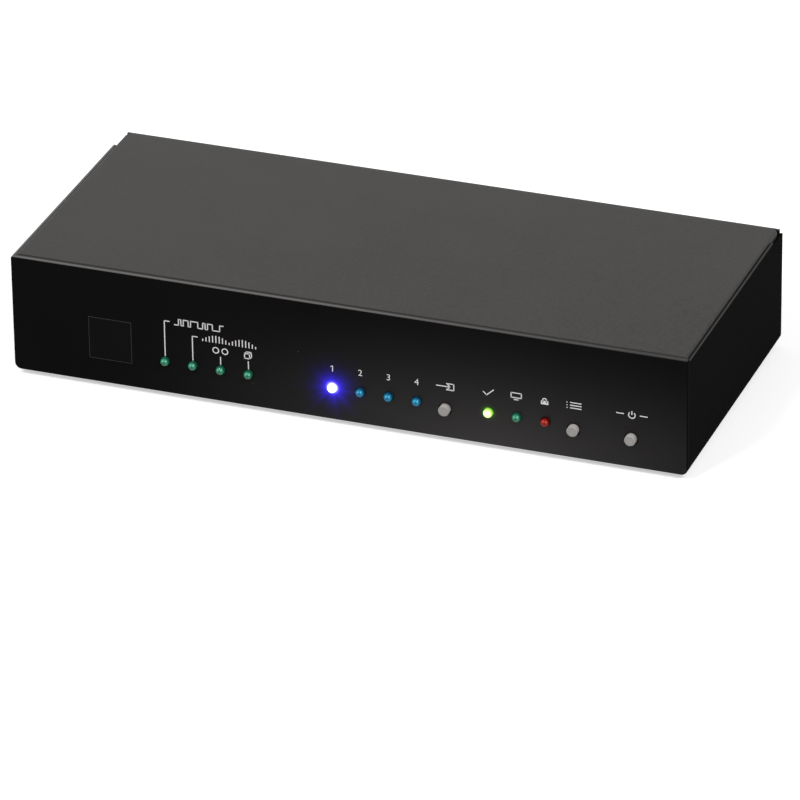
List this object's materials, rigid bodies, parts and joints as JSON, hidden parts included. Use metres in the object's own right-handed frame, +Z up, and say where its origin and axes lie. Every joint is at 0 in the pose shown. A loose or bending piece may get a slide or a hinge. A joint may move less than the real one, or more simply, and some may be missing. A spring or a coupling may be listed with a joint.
{
  "type": "hdmi switcher",
  "caption": "Low steel-cased video and audio selector with a row of lamps and push buttons in front and sockets behind.",
  "frame": {"origin": "on the plane that the feet stand on, under the middle of the whole footprint from the front lamps to the rear jacks", "axes": "+X to the right seen from the front, +Y towards the rear sockets, +Z up; the front panel faces -Y"},
  "size_m": [0.22, 0.1058, 0.041],
  "materials": {
    "case_paint": "fine satin black powder coat",
    "cover_paint": "fine satin black powder coat",
    "face_paint": "semi-gloss black with pale printed marks",
    "rear_paint": "fine satin black powder coat",
    "foot_rubber": "black moulded rubber",
    "window_tint": "polished dark infrared filter",
    "receiver_resin": "dark moulded resin",
    "carrier_plastic": "black moulded plastic",
    "led_green": "green tinted resin, unlit",
    "led_green_lit": "green resin, lit",
    "led_blue": "blue tinted resin, unlit",
    "led_blue_lit": "blue resin, lit",
    "led_red": "red tinted resin, unlit",
    "button_plastic": "grey moulded plastic",
    "switch_plastic": "black moulded plastic",
    "board_laminate": "green solder mask",
    "zinc_steel": "zinc plated",
    "screw_steel": "black plated",
    "socket_steel": "nickel plated",
    "tongue_plastic": "black moulded plastic",
    "jack_orange": "orange moulded plastic",
    "jack_white": "white moulded plastic",
    "jack_red": "red moulded plastic",
    "barrel_nickel": "nickel plated",
    "inlet_plastic": "black moulded plastic",
    "pin_nickel": "nickel plated",
    "port_plastic": "black moulded plastic",
    "shutter_plastic": "dark grey moulded plastic",
    "chip_resin": "black moulded resin",
    "sink_aluminium": "black anodised aluminium",
    "capacitor_sleeve": "dark printed sleeve"
  },
  "bodies": {
    "housing": {"audio_chip": "chip_resin", "base_tray": "case_paint", "board_screws": "zinc_steel", "board_standoffs": "zinc_steel", "coax_jack_barrel": "barrel_nickel", "coax_jack_body": "jack_orange", "controller_chip": "chip_resin", "dc_inlet_body": "inlet_plastic", "dc_inlet_pin": "pin_nickel", "edid_switch": "switch_plastic", "filter_capacitors": "capacitor_sleeve", "foot_front_left": "foot_rubber", "foot_front_right": "foot_rubber", "foot_rear_left": "foot_rubber", "foot_rear_right": "foot_rubber", "front_panel": "face_paint", "hdmi_in_1_shell": "socket_steel", "hdmi_in_1_tongue": "tongue_plastic", "hdmi_in_2_shell": "socket_steel", "hdmi_in_2_tongue": "tongue_plastic", "hdmi_in_3_shell": "socket_steel", "hdmi_in_3_tongue": "tongue_plastic", "hdmi_in_4_shell": "socket_steel", "hdmi_in_4_tongue": "tongue_plastic", "hdmi_out_shell": "socket_steel", "hdmi_out_tongue": "tongue_plastic", "heat_sink": "sink_aluminium", "input_switch": "switch_plastic", "ir_receiver": "receiver_resin", "ir_window": "window_tint", "led_bitstream": "led_green", "led_carrier_audio": "carrier_plastic", "led_carrier_input": "carrier_plastic", "led_carrier_status": "carrier_plastic", "led_input_1": "led_blue_lit", "led_input_2": "led_blue", "led_input_3": "led_blue", "led_input_4": "led_blue", "led_lock": "led_red", "led_multichannel": "led_green", "led_standard": "led_green_lit", "led_stereo": "led_green", "led_television": "led_green", "led_three_d": "led_green", "left_jack_barrel": "barrel_nickel", "left_jack_body": "jack_white", "main_board": "board_laminate", "optical_port": "port_plastic", "panel_nuts": "zinc_steel", "power_switch": "switch_plastic", "rear_panel": "rear_paint", "rear_screws": "screw_steel", "right_jack_barrel": "barrel_nickel", "right_jack_body": "jack_red", "top_cover": "cover_paint", "video_chip": "chip_resin"},
    "input_button": {"input_button": "button_plastic"},
    "edid_button": {"edid_button": "button_plastic"},
    "power_button": {"power_button": "button_plastic"},
    "optical_shutter": {"optical_shutter": "shutter_plastic"}
  },
  "joints": [
    {"name": "input_press", "type": "slide", "parent": "housing", "child": "input_button", "axis": [0, 1, 0], "range_m": [0, 0.00025], "stiffness_N_per_m": 2400, "springref_m": -0.0003},
    {"name": "edid_press", "type": "slide", "parent": "housing", "child": "edid_button", "axis": [0, 1, 0], "range_m": [0, 0.00025], "stiffness_N_per_m": 2400, "springref_m": -0.0003},
    {"name": "power_press", "type": "slide", "parent": "housing", "child": "power_button", "axis": [0, 1, 0], "range_m": [0, 0.00025], "stiffness_N_per_m": 2400, "springref_m": -0.0003},
    {"name": "shutter_swing", "type": "hinge", "parent": "housing", "child": "optical_shutter", "pos_m": [-0.088, 0.04345, 0.0163], "axis": [-1, 0, 0], "range_deg": [0, 80], "stiffness_Nm_per_rad": 0.0001, "springref_deg": -28.65}
  ]
}
